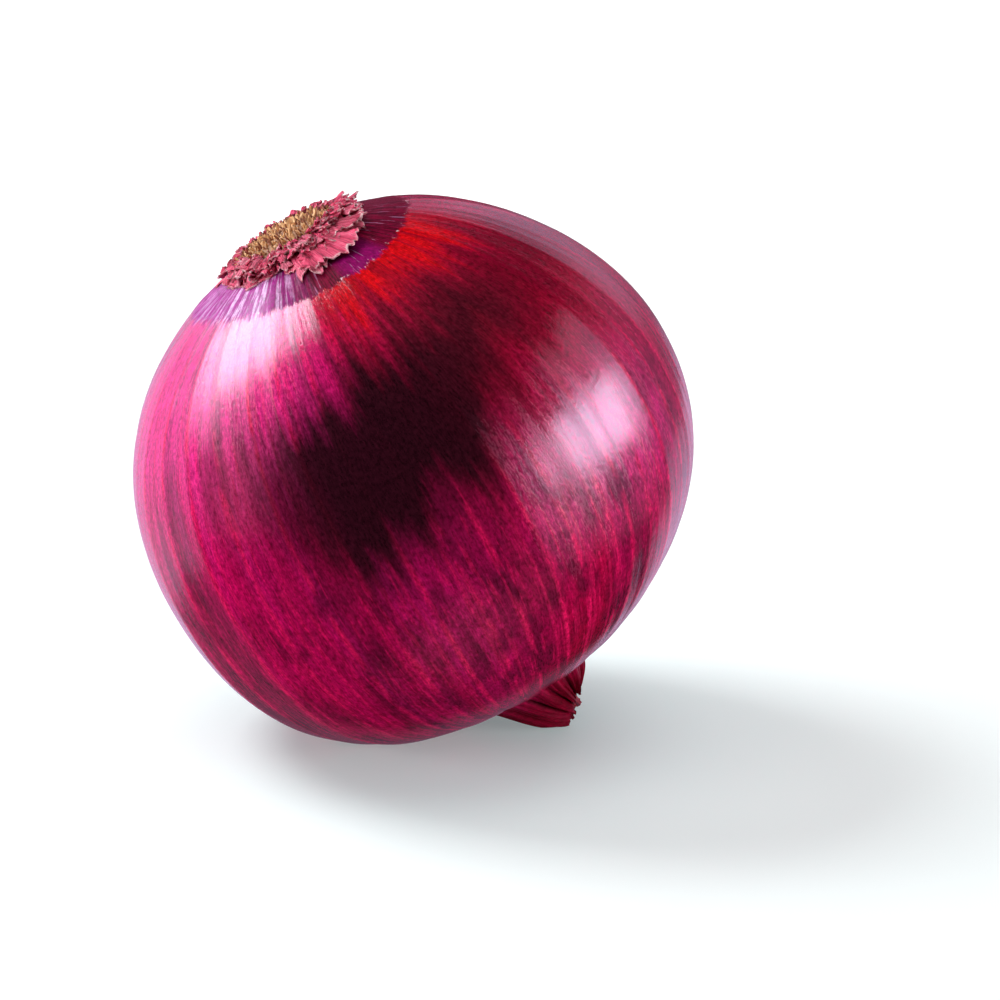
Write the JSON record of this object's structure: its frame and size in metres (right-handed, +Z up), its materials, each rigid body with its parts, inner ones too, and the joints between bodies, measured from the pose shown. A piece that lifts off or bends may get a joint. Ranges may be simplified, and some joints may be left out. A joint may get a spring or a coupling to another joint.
{
  "type": "red onion",
  "caption": "Whole red onion in its dry skin, lying tilted on its cheek and neck tip with the flaky root end up.",
  "frame": {"origin": "on the table, under the middle of the onion's outline", "axes": "+Z up from the table; the onion's axis lies in the XZ plane, with the root end up towards -X and the neck down towards +X"},
  "size_m": [0.0794, 0.08, 0.0781],
  "materials": {
    "onion_skin": "glossy dry skin with streaks along the bulb",
    "torn_skin": "matt torn dry skin",
    "dry_roots": "matt dry root fibre"
  },
  "bodies": {
    "root": {"bulb": "onion_skin", "skin_collar": "torn_skin", "root_plate": "dry_roots"}
  },
  "joints": []
}
